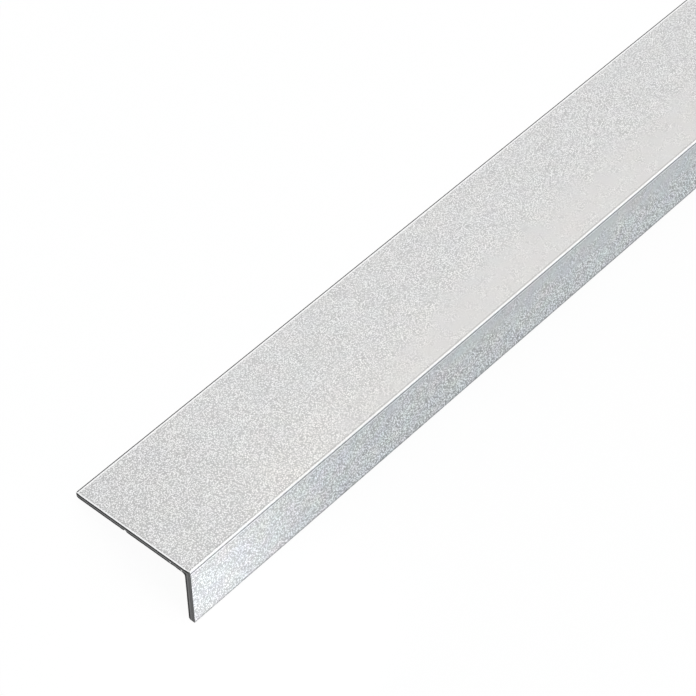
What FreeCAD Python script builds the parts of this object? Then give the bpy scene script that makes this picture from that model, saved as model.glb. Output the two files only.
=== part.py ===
import FreeCAD, Part
from FreeCAD import Vector

import math
import os

# Aluminium angle profile with unequal legs: one extruded length of stock, sawn square at both ends.
#
# All sizes are in millimetres. The profile lies as it does on a level floor, on both of its toes, with
# the bend on top. +X runs along the length, and the wide leg slopes down towards +Y. The origin is on
# the floor, under the middle of the profile.

# The legs are measured over the outside, as such stock is named: 40 x 20 x 2.
wide_leg = 40.0
narrow_leg = 20.0
wall = 2.0
length = 1000.0

# The die leaves a radius along each edge. Outside, the profile is nearly sharp, and each toe is rounded
# more on its inner edge, which is the one that it stands on.
bend_radius = 0.75
root_radius = 1.0
toe_radius = 0.6
toe_edge_radius = 0.25


def toe_inner_radius():
    """The round on the inner edge of a toe, which has to leave a little of the toe's end flat."""
    toe_end = wall - toe_edge_radius
    return min(toe_radius, 0.9 * toe_end)


def lean_angle():
    """How steeply the wide leg slopes once the rounds of both toes touch the floor."""
    return math.atan2(narrow_leg - wall, wide_leg - wall)


def bend_height():
    """The height over the floor at which the outer faces of the two legs would meet."""
    lean, toe = lean_angle(), toe_inner_radius()
    return (wide_leg - toe) * math.sin(lean) + (wall - toe) * math.cos(lean) + toe


def rounded_wire(corners):
    """Join straight runs with tangent arcs. Each corner is its point and the radius that rounds it."""
    points = [point for point, radius in corners]
    arcs = []
    for i, (point, radius) in enumerate(corners):
        back = (points[i - 1] - point).normalize()
        ahead = (points[(i + 1) % len(points)] - point).normalize()
        inward = (back + ahead).normalize()
        half_angle = back.getAngle(ahead) / 2
        reach = radius / math.tan(half_angle)
        depth = radius / math.sin(half_angle) - radius
        arcs.append(Part.Arc(point + back * reach, point + inward * depth, point + ahead * reach))

    edges = []
    for i, arc in enumerate(arcs):
        next_arc = arcs[(i + 1) % len(arcs)]
        edges.append(arc.toShape())
        edges.append(Part.LineSegment(arc.EndPoint, next_arc.StartPoint).toShape())
    return Part.Wire(edges)


def section():
    """The L that the die cuts, standing in the plane of the near end."""
    lean, top, toe = lean_angle(), bend_height(), toe_inner_radius()

    def at(out, down):
        """A point so far out along the wide leg and so far down along the narrow leg."""
        across = out * math.cos(lean) - down * math.sin(lean)
        height = top - out * math.sin(lean) - down * math.cos(lean)
        return Vector(0, across, height)

    return rounded_wire([
        (at(0, 0), bend_radius),
        (at(wide_leg, 0), toe_edge_radius),
        (at(wide_leg, wall), toe),
        (at(wall, wall), root_radius),
        (at(wall, narrow_leg), toe),
        (at(0, narrow_leg), toe_edge_radius),
    ])


def angle_profile():
    """The section pushed along its length, and centred over the origin."""
    bar = Part.Face(section()).extrude(Vector(length, 0, 0))
    middle = bar.optimalBoundingBox(False).Center
    bar.translate(Vector(-middle.x, -middle.y, 0))
    return bar


os.makedirs("parts", exist_ok=True)
profile = angle_profile()
profile.exportStep("parts/angle_profile.step")

box = profile.optimalBoundingBox(False)
print(f"angle_profile: valid {profile.isValid()}, volume {profile.Volume:.1f} mm3")
print(f"box {box.XLength:.2f} x {box.YLength:.2f} x {box.ZLength:.2f} mm, lowest point at {box.ZMin:.4f} mm")
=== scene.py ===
# %% [markdown]
# # An aluminium angle profile
#
# This notebook dresses one piece of metal stock: an unequal aluminium angle, 40 x 20 x 2 mm and 1 m long,
# pushed hot through a steel die, etched and anodised to a matt silver, and sawn to length. The packed
# model is the frame that everything is fitted to. It is loaded first, and its box gives the bar's length
# and where it lies across.

import math
from collections import namedtuple

import bmesh
import bpy
from mathutils import Matrix, Vector, noise


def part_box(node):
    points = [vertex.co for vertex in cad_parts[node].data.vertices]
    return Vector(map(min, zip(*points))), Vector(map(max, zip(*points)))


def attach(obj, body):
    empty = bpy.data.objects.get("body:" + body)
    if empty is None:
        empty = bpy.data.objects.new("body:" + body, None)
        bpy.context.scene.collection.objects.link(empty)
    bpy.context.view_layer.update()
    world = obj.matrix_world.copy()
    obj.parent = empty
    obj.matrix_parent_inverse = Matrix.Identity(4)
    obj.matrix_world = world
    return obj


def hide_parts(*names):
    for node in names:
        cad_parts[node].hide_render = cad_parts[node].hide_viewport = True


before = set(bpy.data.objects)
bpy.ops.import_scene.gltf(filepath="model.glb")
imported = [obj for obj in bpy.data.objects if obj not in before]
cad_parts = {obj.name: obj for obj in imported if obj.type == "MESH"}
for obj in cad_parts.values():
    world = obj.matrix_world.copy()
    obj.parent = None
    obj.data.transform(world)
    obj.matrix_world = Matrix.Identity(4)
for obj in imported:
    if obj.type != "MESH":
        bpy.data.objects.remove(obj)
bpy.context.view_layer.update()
node_low, node_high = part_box("angle_profile")
print("the profile's box, in metres:", [round(v, 5) for v in node_high - node_low])

# %% [markdown]
# ## Writing node trees as sums
#
# Shader and geometry trees are both graphs of sockets, and arithmetic on them is easier to read as
# arithmetic. `Link` stands for one output socket, and adding, subtracting, multiplying or dividing it
# puts down a Math node. `Graph.add` puts down a node of any kind: its settings first, because they decide
# which sockets it has, and then a value or a link for each socket that is named.

# %% A socket that can be calculated with
class Link:
    def __init__(self, graph, socket):
        self.graph = graph
        self.socket = socket

    def __add__(self, other):
        return self.graph.math("ADD", self, other)

    def __sub__(self, other):
        return self.graph.math("SUBTRACT", self, other)

    def __rsub__(self, other):
        return self.graph.math("SUBTRACT", other, self)

    def __mul__(self, other):
        return self.graph.math("MULTIPLY", self, other)

    def __truediv__(self, other):
        return self.graph.math("DIVIDE", self, other)

    __radd__ = __add__
    __rmul__ = __mul__


# %% A node tree that nodes are added to
class Graph:
    def __init__(self, tree):
        self.tree = tree

    def add(self, kind, settings=None, inputs=None):
        """Put down a node and give its outputs by name."""
        node = self.tree.nodes.new(kind)
        for name, value in (settings or {}).items():
            setattr(node, name, value)
        for name, value in (inputs or {}).items():
            socket = next(s for s in node.inputs if s.enabled and name in (s.name, s.identifier))
            if isinstance(value, Link):
                self.tree.links.new(value.socket, socket)
            else:
                socket.default_value = value
        return {socket.name: Link(self, socket) for socket in node.outputs if socket.enabled}

    def math(self, operation, *values):
        """A Math node. Its value sockets share one name, so they are told apart by identifier."""
        inputs = dict(zip(("Value", "Value_001", "Value_002"), values))
        return self.add("ShaderNodeMath", {"operation": operation}, inputs)["Value"]


# %% [markdown]
# ## The section and how it lies
#
# The die's drawing is an L with six corners. Each corner has its own radius: the bend is nearly sharp,
# the root inside it has a small fillet, and each toe is rounded more on its inner edge than outside.
# Laid on a floor, an angle rests on both toes, with the bend on top. The slope of the wide leg follows
# from the legs and the wall, as in the solid model.

# %% The section's sizes
mm = 0.001
wide_leg, narrow_leg, wall = 40 * mm, 20 * mm, 2 * mm
bend_radius, root_radius = 0.75 * mm, 1.0 * mm
toe_radius, toe_edge_radius = 0.6 * mm, 0.25 * mm
length = node_high.x - node_low.x

section_corners = [
    ((0, 0), bend_radius),
    ((wide_leg, 0), toe_edge_radius),
    ((wide_leg, wall), toe_radius),
    ((wall, wall), root_radius),
    ((wall, narrow_leg), toe_radius),
    ((0, narrow_leg), toe_edge_radius),
]

lean = math.atan2(narrow_leg - wall, wide_leg - wall)
out_along_wide = Vector((0, math.cos(lean), -math.sin(lean)))
down_along_narrow = Vector((0, -math.sin(lean), -math.cos(lean)))
bend_height = (wide_leg - toe_radius) * math.sin(lean) + (wall - toe_radius) * math.cos(lean) + toe_radius
print(f"the wide leg slopes {math.degrees(lean):.2f} degrees, and the bend is {bend_height / mm:.2f} mm up")

# %% [markdown]
# ## One sweep, as the press makes it
#
# An extrusion is a rule, not a shape to be modelled by hand: one section, pushed along one line. Geometry
# Nodes say exactly that. Mesh to Curve reads the drawing, Fillet Curve rounds each corner by the radius
# stored on it, and Curve to Mesh pushes the result along a straight path and closes both ends. Long runs
# are divided into short ones first, so that the rim of the saw cut can be a little uneven later on.

# %% Geometry Nodes: what the sweep is given
sweep_inputs = {
    "Drawing": "NodeSocketGeometry",
    "Length": "NodeSocketFloat",
    "Stations": "NodeSocketInt",
    "Rim": "NodeSocketFloat",
    "Arc Steps": "NodeSocketInt",
    "Spacing": "NodeSocketFloat",
    "Skin": "NodeSocketMaterial",
    "Cut": "NodeSocketMaterial",
}


def new_sweep():
    """An empty geometry tree with those inputs, and the bar as its output."""
    tree = bpy.data.node_groups.new("sawn_extrusion", "GeometryNodeTree")
    for name, kind in sweep_inputs.items():
        tree.interface.new_socket(name=name, in_out="INPUT", socket_type=kind)
    tree.interface.new_socket(name="Bar", in_out="OUTPUT", socket_type="NodeSocketGeometry")
    return Graph(tree)


# %% Geometry Nodes: round the drawing's corners and divide its long runs
def rounded_outline(graph, given):
    """The section as a closed curve. Each run is as long as the step from its point to the next one."""
    radius = graph.add("GeometryNodeInputNamedAttribute", {"data_type": "FLOAT"}, {"Name": "corner_radius"})
    outline = graph.add("GeometryNodeMeshToCurve", None, {"Mesh": given["Drawing"]})["Curve"]
    outline = graph.add("GeometryNodeFilletCurve", {"mode": "POLY"}, {
        "Curve": outline, "Count": given["Arc Steps"], "Radius": radius["Attribute"],
    })["Curve"]

    here = graph.add("GeometryNodeInputPosition")["Position"]
    following = graph.add("GeometryNodeOffsetPointInCurve", None, {"Offset": 1})["Point Index"]
    there = graph.add("GeometryNodeFieldAtIndex", {"data_type": "FLOAT_VECTOR"}, {
        "Index": following, "Value": here,
    })["Value"]
    run = graph.add("ShaderNodeVectorMath", {"operation": "DISTANCE"}, {
        "Vector": here, "Vector_001": there,
    })["Value"]
    return graph.add("GeometryNodeSubdivideCurve", None, {
        "Curve": outline, "Cuts": run / given["Spacing"],
    })["Curve"]


# %% Geometry Nodes: a straight path, with a station close to each end
same_index = 0.5


def sawn_path(graph, given):
    """Even stations along the length, with the second and the last but one moved out to the rims."""
    half = given["Length"] * 0.5
    start, end = (graph.add("ShaderNodeCombineXYZ", None, {"Z": half * side})["Vector"] for side in (-1, 1))
    path = graph.add("GeometryNodeCurvePrimitiveLine", {"mode": "POINTS"}, {"Start": start, "End": end})
    path = graph.add("GeometryNodeResampleCurve", {"mode": "COUNT"}, {
        "Curve": path["Curve"], "Count": given["Stations"],
    })["Curve"]
    index = graph.add("GeometryNodeInputIndex")["Index"]
    second, last_but_one = 1, given["Stations"] - 2
    for side, station in ((-1, second), (1, last_but_one)):
        chosen = graph.math("COMPARE", index, station, same_index)
        inside = graph.add("ShaderNodeCombineXYZ", None, {"Z": (half - given["Rim"]) * side})["Vector"]
        path = graph.add("GeometryNodeSetPosition", None, {
            "Geometry": path, "Selection": chosen, "Position": inside,
        })["Geometry"]
    return path


# %% Geometry Nodes: push the outline along the path, and tell the cut from the skin
flat_from = 0.9999


def sweep_tree():
    """The whole sweep. Flat faces stay flat, arcs are shaded smooth, and faces across the path are cut."""
    graph = new_sweep()
    given = graph.add("NodeGroupInput")
    bar = graph.add("GeometryNodeCurveToMesh", None, {
        "Curve": sawn_path(graph, given), "Profile Curve": rounded_outline(graph, given), "Fill Caps": True,
    })["Mesh"]

    normal = graph.add("GeometryNodeInputNormal")["Normal"]
    facing = graph.add("ShaderNodeVectorMath", {"operation": "ABSOLUTE"}, {"Vector": normal})["Vector"]
    facing = graph.add("ShaderNodeSeparateXYZ", None, {"Vector": facing})
    sideways = graph.math("MAXIMUM", facing["X"], facing["Y"])
    is_cut = graph.math("GREATER_THAN", facing["Z"], flat_from)
    is_curved = graph.math("LESS_THAN", graph.math("MAXIMUM", sideways, facing["Z"]), flat_from)
    bar = graph.add("GeometryNodeSetShadeSmooth", None, {
        "Geometry": bar, "Shade Smooth": is_curved,
    })["Geometry"]
    bar = graph.add("GeometryNodeRealizeInstances", None, {"Geometry": bar})["Geometry"]
    bar = graph.add("GeometryNodeSetMaterial", None, {"Geometry": bar, "Material": given["Skin"]})["Geometry"]
    bar = graph.add("GeometryNodeSetMaterial", None, {
        "Geometry": bar, "Selection": is_cut, "Material": given["Cut"],
    })["Geometry"]
    graph.add("NodeGroupOutput", None, {"Bar": bar})
    return graph.tree


# %% Draw the six corners
def corner_drawing():
    """A loop of six points and edges, each point with the radius that rounds it."""
    drawing = bpy.data.meshes.new("section_drawing")
    points = [(out, down, 0) for (out, down), radius in section_corners]
    drawing.from_pydata(points, [(i, (i + 1) % len(points)) for i in range(len(points))], [])
    radii = drawing.attributes.new("corner_radius", "FLOAT", "POINT")
    radii.data.foreach_set("value", [radius for point, radius in section_corners])
    return bpy.data.objects.new("section_drawing", drawing)


# %% Sweep it, and keep the result as a plain mesh
def swept_mesh(drawing, values):
    """Give the modifier its values by socket identifier, and evaluate it once."""
    sweep = drawing.modifiers.new("sweep", "NODES")
    sweep.node_group = sweep_tree()
    for item in sweep.node_group.interface.items_tree:
        if item.in_out == "INPUT" and item.name in values:
            sweep[item.identifier] = values[item.name]
    bpy.context.scene.collection.objects.link(drawing)
    evaluated = drawing.evaluated_get(bpy.context.evaluated_depsgraph_get())
    mesh = bpy.data.meshes.new_from_object(evaluated)
    bpy.data.objects.remove(drawing)
    return mesh


stations, arc_steps = 51, 8
rim_station, run_spacing = 0.6 * mm, 0.6 * mm

skin = bpy.data.materials.new("satin_anodised_skin")
cut = bpy.data.materials.new("sawn_end_metal")
brushed = bpy.data.materials.new("brushed_rim_painted_highlight")
bar_mesh = swept_mesh(corner_drawing(), {
    "Length": length,
    "Stations": stations,
    "Rim": rim_station,
    "Arc Steps": arc_steps,
    "Spacing": run_spacing,
    "Skin": skin,
    "Cut": cut,
})
print("the swept bar has", len(bar_mesh.vertices), "points and", len(bar_mesh.polygons), "faces")

# %% [markdown]
# ## The saw's rim, and the bar in its place
#
# The sweep runs along the drawing's own Z, so one rotation lays it on its toes: out along the wide leg,
# down along the narrow leg, and back along the bar. A saw leaves a burr all round, which is brushed off
# to a fine bevel outside, and to a broader one on top of the wide leg, where the brush reaches best. Inside
# the angle the edge stays sharp. A Bevel modifier would take every edge of the bar for a sharp one, so
# the rims are picked in bmesh instead, by the two materials that meet there. Where such a bevel runs
# out, it can leave two points in one place, and those are made one, so that the mesh stays closed. The
# rim is never quite even: smooth noise nudges its points, and one chip is missing where the blade came
# out. Both go into the metal only.

# %% Lay the bar on its toes
along_back = Vector((-1, 0, 0))
lie_down = Matrix((out_along_wide, down_along_narrow, along_back)).transposed().to_4x4()
bar_mesh.transform(lie_down)

across = [v.co.y for v in bar_mesh.vertices]
to_middle = (node_low.y + node_high.y) / 2 - (min(across) + max(across)) / 2
bend_line = Vector((0, to_middle, bend_height))
bar_mesh.transform(Matrix.Translation(bend_line))
print("the outer corner of the bend lies at", [round(v, 5) for v in bend_line])

# %% Bevel both sawn rims, unevenly
rim_bevel, rim_steps, rim_round = 0.12 * mm, 2, 0.5
rim_zone = 1.5 * rim_bevel
wall_margin, bend_clear = 0.01 * mm, 0.5 * mm
same_point = 0.0002 * mm
brushed_along, brushed_below = 0.24 * mm, 0.30 * mm
brushed_from, brushed_to = 1.0 * mm, 39.2 * mm
rim_nick, nick_size = 0.12 * mm, 1.6 * mm
chip_out, chip_wide, chip_deep = 22.8 * mm, 0.9 * mm, 0.55 * mm


def smooth_step(value, start, stop):
    share = min(1, max(0, (value - start) / (stop - start)))
    return share * share * (3 - 2 * share)


def section_of(point):
    """How far out along the wide leg and down along the narrow leg a point is."""
    from_bend = point - bend_line
    return from_bend.dot(out_along_wide), from_bend.dot(down_along_narrow)


def to_nearer_end(point):
    """How far a point is from the sawn end that is nearer to it."""
    return length / 2 - abs(point.x)


def is_outer(edge):
    """Whether an edge of the rim is one that the brush reaches: outside, or round a toe."""
    out, down = section_of((edge.verts[0].co + edge.verts[1].co) / 2)
    return min(out, down) < wall - wall_margin


def wear_rim(vertex):
    """Widen the bevel on top of the wide leg, chip its lower edge, and make the whole rim uneven."""
    out, down = section_of(vertex.co)
    if down < rim_zone:
        here = smooth_step(out, brushed_from, 2 * brushed_from)
        here = here * (1 - smooth_step(out, brushed_to - brushed_from, brushed_to))
        longer = here * (brushed_along / rim_bevel - 1)
        deeper = here * (brushed_below / rim_bevel - 1)
        vertex.co.x -= math.copysign(to_nearer_end(vertex.co) * longer, vertex.co.x)
        vertex.co += down_along_narrow * down * deeper
    if vertex.co.x < 0 and wall - down < rim_zone:
        missing = max(0, 1 - (2 * (out - chip_out) / chip_wide) ** 2)
        vertex.co -= down_along_narrow * chip_deep * missing
    uneven = max(0, noise.noise(vertex.co / nick_size))
    vertex.co -= vertex.normal * rim_nick * uneven ** 2


def finish_of(face):
    """The metal that a face shows: skin, or the bare cut with its rim, brushed on top of the wide leg."""
    out, down = section_of(face.calc_center_median())
    along = abs(face.normal.x)
    if along <= 1 - flat_from:
        return skin
    on_top = down < rim_bevel and out > bend_clear
    return brushed if on_top and along <= flat_from else cut


def bevel_rims(mesh):
    """Bevel the outer edges where a sawn face meets the skin, and wear the whole rim."""
    mesh.materials.append(brushed)
    slots = {material: slot for slot, material in enumerate(mesh.materials)}
    work = bmesh.new()
    work.from_mesh(mesh)
    rims = [e for e in work.edges if len({f.material_index for f in e.link_faces}) > 1 and is_outer(e)]
    bmesh.ops.bevel(
        work, geom=rims, offset=rim_bevel, segments=rim_steps, profile=rim_round, affect="EDGES",
    )
    bmesh.ops.dissolve_degenerate(work, dist=same_point, edges=work.edges)
    work.normal_update()
    for face in work.faces:
        face.material_index = slots[finish_of(face)]
    for vertex in work.verts:
        if to_nearer_end(vertex.co) < rim_zone:
            wear_rim(vertex)
    work.to_mesh(mesh)
    work.free()
    return len(rims)


print("bevelled", bevel_rims(bar_mesh), "edges round the two sawn ends")

# %% Hand the bar to the frame
bar = bpy.data.objects.new("angle_bar", bar_mesh)
bpy.context.scene.collection.objects.link(bar)
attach(bar, "root")
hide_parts("angle_profile")
print("the finished bar has", len(bar_mesh.polygons), "faces")

# %% [markdown]
# ## Reading the section from inside a material
#
# Much of what the metal shows follows its own section: a painted highlight runs along the bend, painted
# shade lines run along the toes, and the grain fades beside the bend. A painted mask could say where, but a
# formula is exact at any distance. Two dot products turn a point into how far it lies out along the wide leg
# and down along the narrow one, in millimetres, and its X gives how far it is from the nearer sawn end.

# %% Small helpers for every tree
def new_graph(owner):
    """An empty node tree for a material or the sky."""
    owner.use_nodes = True
    owner.node_tree.nodes.clear()
    return Graph(owner.node_tree)


def rise(graph, value, start, stop):
    """0 up to start, 1 from stop on, and a smooth step between them."""
    return graph.add("ShaderNodeMapRange", {"interpolation_type": "SMOOTHSTEP"}, {
        "Value": value, "From Min": start, "From Max": stop,
    })["Result"]


def fall(graph, value, start, stop):
    """1 up to start, 0 from stop on, and a smooth step between them."""
    return 1 - rise(graph, value, start, stop)


def between(share, start, stop):
    """A value that goes from one to another while a share goes from 0 to 1."""
    return start + share * (stop - start)


# %% The place of a point in the section
leg_blend = 0.2

Place = namedtuple("Place", "point along out down to_end narrow wide")


def millimetres(graph):
    """A point, counted in millimetres from the middle of the bend line."""
    point = graph.add("ShaderNodeTexCoord")["Object"]
    point = graph.add("ShaderNodeVectorMath", {"operation": "SUBTRACT"}, {
        "Vector": point, "Vector_001": bend_line,
    })["Vector"]
    return graph.add("ShaderNodeVectorMath", {"operation": "SCALE"}, {
        "Vector": point, "Scale": 1 / mm,
    })["Vector"]


def section_place(graph):
    """A point, how far it lies along, out, down and from an end, and how far it is on each leg."""
    point = millimetres(graph)
    out, down = (
        graph.add("ShaderNodeVectorMath", {"operation": "DOT_PRODUCT"}, {
            "Vector": point, "Vector_001": direction,
        })["Value"]
        for direction in (out_along_wide, down_along_narrow)
    )
    along = graph.add("ShaderNodeSeparateXYZ", None, {"Vector": point})["X"]
    to_end = length / mm / 2 - graph.math("ABSOLUTE", along)
    narrow = rise(graph, down - out, -leg_blend, leg_blend)
    return Place(point, along, out, down, to_end, narrow, 1 - narrow)


# %% Small helpers for every finish
noise_middle = 0.5


def either(place, on_the_wide, on_the_narrow):
    """A value for the wide leg that changes into another one on the narrow leg."""
    return between(place.narrow, on_the_wide, on_the_narrow)


def cloud(graph, point, size, detail=1.0):
    """Smooth noise from 0 to 1, with lumps of about one size, in millimetres."""
    return graph.add("ShaderNodeTexNoise", None, {
        "Vector": point, "Scale": 1 / size, "Detail": detail,
    })["Fac"]


def drift(graph, point, size, reach, detail=1.0):
    """Smooth noise to both sides of 0."""
    return (cloud(graph, point, size, detail) - noise_middle) * reach


def relief(graph, height, strength, depth):
    """A normal that makes a height look raised, without moving the surface."""
    return graph.add("ShaderNodeBump", None, {
        "Strength": strength, "Distance": depth, "Height": height,
    })["Normal"]


def grey(graph, shade):
    """A shade as a colour."""
    return graph.add("ShaderNodeCombineColor", None, {"Red": shade, "Green": shade, "Blue": shade})["Color"]


def finish(graph, metal):
    """End a material's tree with its metal, and count its nodes."""
    bsdf = graph.add("ShaderNodeBsdfPrincipled", None, metal)["BSDF"]
    graph.add("ShaderNodeOutputMaterial", None, {"Surface": bsdf})
    return len(graph.tree.nodes)


def strongest(graph, shares):
    """The largest of several shares at each point."""
    most = shares[0]
    for share in shares[1:]:
        most = graph.math("MAXIMUM", most, share)
    return most


# %% [markdown]
# ## The skin
#
# Etched in caustic soda and anodised, aluminium is matt and full of crystals about half a millimetre
# wide. Each one has a painted glint, a light dot on a small flat in its middle, and is darker where the
# etch has bitten round it, and no two are quite the same shade. Noise would blur them into each other.
# Voronoi cells don't: their distance is nothing in the middle of a crystal and greatest on its border,
# so a smooth step on it is the painted glint, and their random colour gives each one a shade of its own.
# The narrow leg has the coarser grain. By the sawn end the grain is fresh, and further on it comes in
# patches. Beside the bend it is rubbed nearly smooth, and only the strongest patches are left. Its sizes
# are in millimetres.

# %% Where the grain is rubbed smooth, and where it shows
rubbed_from, rubbed_to, rubbed_onset = 40.0, 130.0, 30.0
rubbed_wide, rubbed_narrow, rubbed_soft = 15.0, 8.5, 6.0
rubbed_least, rubbed_most = 0.42, 0.94
wander_size, wander_reach = 7.0, 12.0
fresh_from, fresh_to = 10.0, 75.0
patch_size, patch_low, patch_high = 3.0, 0.3, 0.7
patch_least, patch_most = 0.75, 1.25
wide_share, narrow_share = 0.80, 1.50


def rubbed_smooth(graph, place):
    """How far the metal beside the bend is rubbed smooth, in a zone that widens away from the end."""
    width = either(place, rubbed_wide, rubbed_narrow) * rise(graph, place.to_end, rubbed_from, rubbed_to)
    wander = drift(graph, place.point, wander_size, wander_reach, detail=3.0)
    rubbed = fall(graph, place.out + place.down - width + wander, -rubbed_soft, rubbed_soft)
    return rubbed * rise(graph, place.to_end, rubbed_from, rubbed_from + rubbed_onset)


def grain_share(graph, place, rubbed):
    """How much of the grain and its painted glints shows: all where it is fresh, patches further on, and
    little where rubbed.
    """
    fresh = fall(graph, place.to_end, fresh_from, fresh_to)
    lumps = rise(graph, cloud(graph, place.point, patch_size, detail=3.0), patch_low, patch_high)
    patchy = between(lumps, patch_least, patch_most) * either(place, wide_share, narrow_share)
    return between(fresh, patchy, 1) * (1 - rubbed * between(lumps, rubbed_most, rubbed_least))


# %% Crystals, each with a painted glint
wide_grain, narrow_grain = 0.40, 0.50
painted_glint_edge, painted_glint_border = 0.20, 0.65
mean_painted_glint = 0.318
facet_spread = 0.15


def crystals(graph, place):
    """How much lighter than average the metal is: above 0 at the painted glint inside a crystal, below 0 on
    its border.
    """
    fineness = either(place, 1 / wide_grain, 1 / narrow_grain)
    cells = graph.add("ShaderNodeTexVoronoi", {"feature": "F1"}, {"Vector": place.point, "Scale": fineness})
    facet = graph.add("ShaderNodeSeparateColor", None, {"Color": cells["Color"]})["Red"]
    # The light dot in each crystal's middle is a painted glint.
    dot = fall(graph, cells["Distance"], painted_glint_edge, painted_glint_border)
    return dot - mean_painted_glint + (facet - noise_middle) * facet_spread


# %% [markdown]
# ## Painted highlights and shade lines along the edges
#
# Lines of painted light and shade run the whole length. The bend is painted nearly white, a painted
# highlight on a slightly smoother round, between two painted shade lines where its round begins, with a
# thin painted highlight below them on the narrow leg. Each toe has a painted shade line on its edge, and on
# the wide leg a painted highlight inside it. A faint painted shade line follows the sawn rim there too.
# Each line is a distance from its edge, so one small table of starts, stops and strengths holds them all.

# %% Painted highlights and shade lines that follow the section: from, to, and how strong, in millimetres from the edge
line_soft = 0.1
painted_highlight_bend = (0.49, 0.58, 1.00)
painted_highlight_narrow_side = (0.88, 1.18, 0.75)
painted_highlight_wide_toe = (0.46, 0.86, 0.85)
painted_shade_wide_side = (0.58, 0.92, 0.22)
painted_shade_narrow_side = (0.50, 0.84, 0.60)
painted_shade_under_highlight = (1.25, 2.10, 0.05)
painted_shade_wide_toe = (0.36, 0.48, 0.90)
painted_shade_narrow_toe = (0.60, 0.90, 0.40)
painted_shade_rim = (0.60, 1.00, 0.10)
bend_shift = 0.04


def line(graph, distance, start, stop, strength):
    """A line with soft borders, between two distances from its edge."""
    soft = line_soft / 2
    into = rise(graph, distance, start - soft, start + soft)
    return into * fall(graph, distance, stop - soft, stop + soft) * strength


def border(graph, distance, start, stop, strength):
    """A line that lies on its edge, and fades from one distance to another."""
    return fall(graph, distance, start, stop) * strength


def edge_lines(graph, place):
    """How much painted highlight, and how much painted shade, lies along the bend, the toes and the sawn rim.
    """
    from_bend = place.out + place.down
    from_wide_toe = wide_leg / mm - place.out + place.down
    from_narrow_toe = narrow_leg / mm - place.down + place.out
    # Painted highlights: on the bend, a line on the narrow side, and one inside the wide toe.
    painted_highlight = strongest(graph, [
        border(graph, from_bend + bend_shift * place.narrow, *painted_highlight_bend),
        line(graph, from_bend, *painted_highlight_narrow_side) * place.narrow,
        line(graph, from_wide_toe, *painted_highlight_wide_toe),
    ])
    # Painted shade lines: beside the bend, on each toe, and along the sawn rim.
    painted_shade_lines = strongest(graph, [
        line(graph, from_bend, *painted_shade_wide_side) * place.wide,
        line(graph, from_bend, *painted_shade_narrow_side) * place.narrow,
        line(graph, from_bend, *painted_shade_under_highlight) * place.narrow,
        border(graph, from_wide_toe, *painted_shade_wide_toe),
        border(graph, from_narrow_toe, *painted_shade_narrow_toe),
        border(graph, place.to_end, *painted_shade_rim) * place.wide,
    ])
    return painted_highlight, painted_shade_lines


# %% [markdown]
# ## Shade and tint
#
# An anodised bar is never one grey. It is a little darker by the saw cut and lighter near the bend, and
# the film leans warm in one place and green in another, more so on the narrow leg. The narrow leg's own
# grey, its cooler tint and its darker rubbed zone are painted light and shade, for how the light falls
# on that side. The shade is worked out first, as one number that stays below white, because a surface
# can't give back more light than it gets. Only the last step makes it a colour.

# %% The skin's shade
# narrow_leg_painted_grey is the narrow leg's own grey, painted for how the light falls on that side.
# painted_highlight_grey is the near white of the painted highlight on the bend and on the brushed rim.
wide_grey, narrow_leg_painted_grey, painted_highlight_grey = 0.620, 0.629, 0.93
whitest = 0.97
wide_depth, narrow_depth = 0.68, 0.75
shade_cloud, shade_drift = 9.0, 0.04
saw_near, saw_far, saw_shade = 5.0, 45.0, -0.05
bend_near, bend_far, bend_shade = 2.0, 26.0, 0.03
# On the narrow leg the rubbed zone is painted darker, as shade.
rubbed_wide_shade, rubbed_narrow_painted_shade = 0.01, -0.03


def near_bend(graph, place):
    """1 at the bend, on the wide leg only, and 0 further out."""
    return fall(graph, place.out, bend_near, bend_far) * place.wide


def skin_shade(graph, place, grain_and_painted_glint, rubbed):
    """The skin's grey with its grain and painted glints, before its painted highlights and shade lines."""
    near_saw = fall(graph, place.to_end, saw_near, saw_far) * place.wide
    slow = drift(graph, place.point, shade_cloud, shade_drift, detail=2.0)
    slow = slow + rubbed * either(place, rubbed_wide_shade, rubbed_narrow_painted_shade)
    slow = slow + saw_shade * near_saw + bend_shade * near_bend(graph, place)
    grained = 1 + grain_and_painted_glint * either(place, wide_depth, narrow_depth)
    shade = either(place, wide_grey, narrow_leg_painted_grey) * grained * (1 + slow)
    return graph.math("MINIMUM", shade, whitest)


# %% The skin's tint
warm_cloud, green_cloud = 7.0, 5.0
wide_tint, narrow_tint = 0.8, 3.0
warm_drift, green_drift = 0.03, 0.04
bend_warmth, warm_from, warm_to = 0.014, 12.0, 40.0
# narrow_leg_painted_red and narrow_leg_painted_blue paint the narrow leg cooler, for the cooler light on its
# side.
wide_red, narrow_leg_painted_red = 1.003, 0.971
wide_blue, narrow_leg_painted_blue = 0.997, 1.022


def skin_colour(graph, place, shade):
    """The skin's grey with its tint."""
    tint = either(place, wide_tint, narrow_tint)
    warmth = drift(graph, place.point, warm_cloud, warm_drift) * tint
    warmth = warmth + bend_warmth * near_bend(graph, place) * rise(graph, place.to_end, warm_from, warm_to)
    green = drift(graph, place.point, green_cloud, green_drift) * tint
    return graph.add("ShaderNodeCombineColor", None, {
        "Red": shade * (either(place, wide_red, narrow_leg_painted_red) + warmth),
        "Green": shade * (1 + green),
        "Blue": shade * (either(place, wide_blue, narrow_leg_painted_blue) - warmth),
    })["Color"]


# %% Skin material
skin_metallic = 0.5
skin_rough, grain_rough, burnished_rough = 0.46, 0.12, -0.14
relief_strength, relief_depth = 0.5, 0.02 * mm


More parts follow.
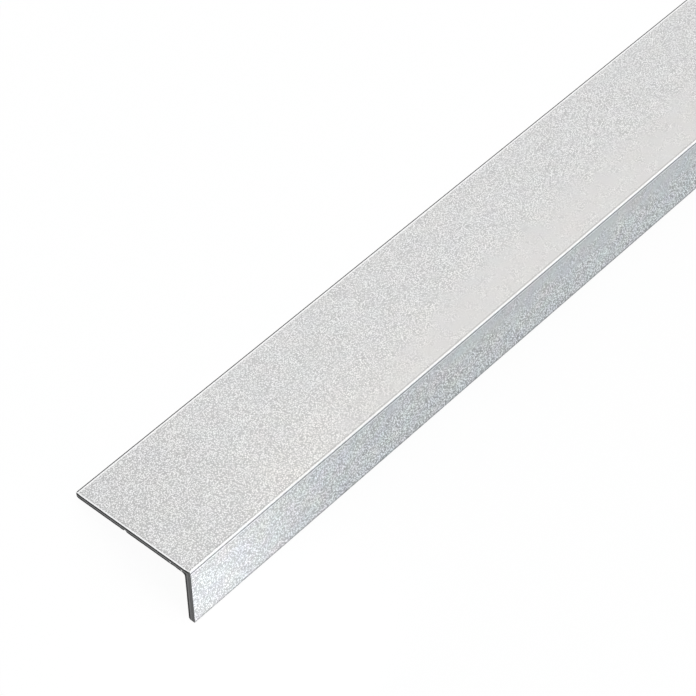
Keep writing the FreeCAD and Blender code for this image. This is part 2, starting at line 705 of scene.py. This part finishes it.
def skin_material(material):
    graph = new_graph(material)
    place = section_place(graph)
    rubbed = rubbed_smooth(graph, place)
    grain_and_painted_glint = crystals(graph, place) * grain_share(graph, place, rubbed)
    painted_highlight, painted_shade_lines = edge_lines(graph, place)

    # The painted shade lines darken the grey, and the painted highlights lift it nearly white.
    shade = skin_shade(graph, place, grain_and_painted_glint, rubbed) * (1 - painted_shade_lines)
    shade = between(painted_highlight, shade, painted_highlight_grey)
    return finish(graph, {
        "Base Color": skin_colour(graph, place, shade), "Metallic": skin_metallic,
        "Roughness": skin_rough + grain_rough * grain_and_painted_glint + burnished_rough * painted_highlight,
        "Normal": relief(graph, grain_and_painted_glint, relief_strength, relief_depth),
    })


print("the skin's tree has", skin_material(skin), "nodes")

# %% [markdown]
# ## The sawn ends
#
# The blade goes through after anodising, so its cut is bare metal. Its grey is painted dark as shade, a
# little less on the wide leg, and darkest next to the skin. It is streaked along the legs by the brush,
# and where the blade came out it left a few bright specks. The brushed rim on top of the wide leg has lost
# its skin too, and its grey is painted as bright as the bend's painted highlight.

# %% The cut's painted shade
cut_painted_shade_grey = 0.148
# wide_cut and narrow_cut set how light each leg's painted shade is.
wide_cut, narrow_cut = 1.36, 1.08
outer_from, outer_to, wide_outer, narrow_outer = 0.83, 1.13, 0.98, 0.36
inner_from, inner_to, wide_inner, narrow_inner = 1.30, 1.60, 0.96, 0.92
streak_along, streak_across = 0.35, 4.0
streak_least, streak_most = 0.75, 1.25
grain_size, grain_least, grain_most = 0.35, 0.85, 1.15


def dark_borders(graph, place, depth):
    """How dark the cut is beside its outer and its inner edge."""
    outer = fall(graph, depth, outer_from, outer_to) * either(place, wide_outer, narrow_outer)
    inner = rise(graph, depth, inner_from, inner_to) * either(place, wide_inner, narrow_inner)
    return strongest(graph, [outer, inner])


def brushed_streaks(graph, place, depth):
    """Noise drawn out along both legs, and fine across them."""
    streaked = graph.add("ShaderNodeCombineXYZ", None, {
        "X": place.out * streak_along, "Y": place.down * streak_along, "Z": depth * streak_across,
    })["Vector"]
    return cloud(graph, streaked, size=1.0, detail=3.0)


# %% Bright specks that the blade left on one end
speck_grey = 0.60
saw_specks = [(7.0, 1.5, 0.32), (3.1, 1.6, 0.36), (22.8, 1.9, 0.5)]


def speck_share(graph, place):
    """Round spots in the section of the near end, each given by how far out, how far down and its radius."""
    spots = []
    for at_out, at_down, radius in saw_specks:
        beside, below = place.out - at_out, place.down - at_down
        distance = graph.math("SQRT", beside * beside + below * below)
        spots.append(fall(graph, distance, radius / 2, radius))
    near_end = graph.math("LESS_THAN", place.along, 0)
    return strongest(graph, spots) * near_end


# %% Cut material
cut_metallic, cut_specular = 0.6, 0.3
cut_rough_least, cut_rough_most = 0.5, 0.7
streak_strength, streak_depth = 0.6, 0.05 * mm


def cut_material(material):
    graph = new_graph(material)
    place = section_place(graph)
    depth = graph.math("MINIMUM", place.out, place.down)
    streaks = brushed_streaks(graph, place, depth)
    grains = cloud(graph, place.point, grain_size, detail=2.0)

    shade = cut_painted_shade_grey * between(streaks, streak_least, streak_most) * between(grains, grain_least, grain_most)
    shade = shade * either(place, wide_cut, narrow_cut) * (1 - dark_borders(graph, place, depth))
    shade = between(speck_share(graph, place), shade, speck_grey)
    return finish(graph, {
        "Base Color": grey(graph, shade), "Metallic": cut_metallic, "Specular IOR Level": cut_specular,
        "Roughness": between(grains, cut_rough_least, cut_rough_most),
        "Normal": relief(graph, streaks, streak_strength, streak_depth),
    })


print("the cut's tree has", cut_material(cut), "nodes")

# %% Brushed rim material: a real bevel, its grey painted as a highlight
wear_size, wear_least, wear_most = 0.9, 0.92, 1.12
rim_rough_least, rim_rough_most = 0.28, 0.38


def rim_material(material):
    graph = new_graph(material)
    worn = cloud(graph, millimetres(graph), wear_size, detail=2.0)
    return finish(graph, {
        # The rim's grey is a painted highlight, as bright as the bend's.
        "Base Color": grey(graph, painted_highlight_grey * between(worn, wear_least, wear_most)),
        "Metallic": skin_metallic,
        "Roughness": between(worn, rim_rough_least, rim_rough_most),
    })


print("the rim's tree has", rim_material(brushed), "nodes")

# %% [markdown]
# ## Floor and sky
#
# Stock is photographed on white, so the floor and the sky show as white to the camera and in the metal,
# while what lights the bar stays at a plain level. Light Path tells the rays apart. Part of the floor
# stays an ordinary matt surface, so that the bar keeps a faint shadow to lie on.

# %% White to look at, plain to be lit by
def seen_share(graph, direct, reflected):
    """How much a ray sees of the plain white, straight from the camera or by way of metal or glass."""
    rays = graph.add("ShaderNodeLightPath")
    indirect = strongest(graph, [rays["Is Glossy Ray"], rays["Is Transmission Ray"]])
    return strongest(graph, [rays["Is Camera Ray"] * direct, indirect * reflected])


plain_white = (1, 1, 1, 1)
floor_half = 12.0
floor_seen, floor_mirrored = 0.94, 0.4


def floor_material():
    material = bpy.data.materials.new("white_floor")
    graph = new_graph(material)
    matt = graph.add("ShaderNodeBsdfDiffuse", None, {"Color": plain_white})["BSDF"]
    white = graph.add("ShaderNodeEmission", None, {"Color": plain_white, "Strength": 1.0})["Emission"]
    seen = seen_share(graph, direct=floor_seen, reflected=floor_mirrored)
    mixed = graph.add("ShaderNodeMixShader", None, {
        "Fac": seen, "Shader": matt, "Shader_001": white,
    })["Shader"]
    graph.add("ShaderNodeOutputMaterial", None, {"Surface": mixed})
    return material


def floor_plane():
    mesh = bpy.data.meshes.new("floor")
    corners = [(-1, -1), (1, -1), (1, 1), (-1, 1)]
    mesh.from_pydata([(x * floor_half, y * floor_half, 0) for x, y in corners], [], [(0, 1, 2, 3)])
    mesh.materials.append(floor_material())
    floor = bpy.data.objects.new("floor", mesh)
    bpy.context.scene.collection.objects.link(floor)
    return floor


floor_plane()
print(f"the floor is {2 * floor_half:.0f} m wide, and the camera sees {floor_seen:.0%} of it as plain white")

# %% The sky, dimmer and cooler on the side that the narrow leg faces
sky_level, sky_tilt = 0.83, 0.48
sky_cool = (0.90, 0.97, 1.0, 1)
cool_to, plain_from = -0.7, 0.2


def studio_sky():
    world = bpy.data.worlds.new("studio")
    graph = new_graph(world)
    direction = graph.add("ShaderNodeTexCoord")["Object"]
    sideways = graph.add("ShaderNodeSeparateXYZ", None, {"Vector": direction})["Y"]
    seen = seen_share(graph, direct=1.0, reflected=1.0)
    colour = graph.add("ShaderNodeMix", {"data_type": "RGBA"}, {
        "Factor_Float": strongest(graph, [rise(graph, sideways, cool_to, plain_from), seen]),
        "A_Color": sky_cool, "B_Color": plain_white,
    })["Result"]
    sky = graph.add("ShaderNodeBackground", None, {
        "Color": colour, "Strength": between(seen, sky_level + sky_tilt * sideways, 1.0),
    })["Background"]
    graph.add("ShaderNodeOutputWorld", None, {"Surface": sky})
    return world


bpy.context.scene.world = studio_sky()
print(f"the sky lights the bar from {sky_level - sky_tilt:.2f} on its dim side to {sky_level + sky_tilt:.2f}")

# %% [markdown]
# ## Lamps
#
# The softboxes are sized and placed like those of a studio, and each is given by how bright its face
# is, because that is what the metal mirrors. The key stands over the wide leg. A long strip lies where
# the bend mirrors it to the camera. A small lamp close to the narrow leg, at the near end, lights it
# there and fades within a few centimetres. It stays below the slope of the wide leg, which it misses,
# and glossy rays don't see it, so that it leaves no glare when the bar is looked at from its own side.

# %% Softboxes
def softbox(name, place, aim, size, radiance, colour=(1, 1, 1)):
    """An area lamp that faces a point. Its power follows from how bright its face is."""
    data = bpy.data.lights.new(name, "AREA")
    data.shape = "RECTANGLE"
    wide, tall = size
    data.size, data.size_y = wide, tall
    data.energy = radiance * math.pi * wide * tall
    data.color = colour
    lamp = bpy.data.objects.new(name, data)
    lamp.location = place
    lamp.rotation_euler = (Vector(aim) - Vector(place)).to_track_quat("-Z", "Y").to_euler()
    lamp.visible_camera = False
    bpy.context.scene.collection.objects.link(lamp)
    return lamp


key = softbox("key", place=(0.1, 0.9, 1.6), aim=(0, 0, 0), size=(1.2, 0.8), radiance=1.4)
strip = softbox("strip", place=(0.45, -0.62, 1.05), aim=(-0.3, 0, 0), size=(1.4, 0.12), radiance=3.0)

# %% The lamp at the near end
end_light_in, end_light_gap = 5 * mm, 41 * mm
end_light_size = (25 * mm, 20 * mm)
end_light_radiance = 7.9
end_light_warm = (1, 0.95, 0.955)

by_the_end = bend_line + down_along_narrow * narrow_leg / 2 - Vector((length / 2 - end_light_in, 0, 0))
beside_the_end = by_the_end - out_along_wide * end_light_gap
end_light = softbox(
    "end_light", beside_the_end, by_the_end, end_light_size, end_light_radiance, end_light_warm,
)
end_light.visible_glossy = False
for lamp in (key, strip, end_light):
    print(f"{lamp.name}: {lamp.data.size:.3f} x {lamp.data.size_y:.3f} m, {lamp.data.energy:.4f} W")

# %% [markdown]
# ## Camera
#
# A long lens from 0.73 m away. It looks steeply down past the near end, and is rolled, so that the bar
# runs up to the right. The angles were fitted to the bar's three long edges and the edges of its end.

# %% Camera
camera_aim = Vector((-0.41231, 0.00663, 0.0))
camera_azimuth, camera_elevation, camera_roll = -77.492, 58.862, 35.866
camera_distance = 0.7337
camera_lens = 141.62


def place_camera():
    azimuth, elevation = math.radians(camera_azimuth), math.radians(camera_elevation)
    level = math.cos(elevation)
    back = Vector((math.sin(azimuth) * level, -math.cos(azimuth) * level, math.sin(elevation)))
    turn = (-back).to_track_quat("-Z", "Y").to_matrix()
    turn = turn @ Matrix.Rotation(math.radians(camera_roll), 3, "Z")
    data = bpy.data.cameras.new("camera")
    data.lens = camera_lens
    camera = bpy.data.objects.new("camera", data)
    camera.matrix_world = Matrix.Translation(camera_aim + back * camera_distance) @ turn.to_4x4()
    bpy.context.scene.collection.objects.link(camera)
    return camera


bpy.context.scene.camera = place_camera()
bpy.context.scene.view_settings.view_transform = "Standard"
print("the camera stands at", [round(v, 4) for v in bpy.context.scene.camera.matrix_world.translation])
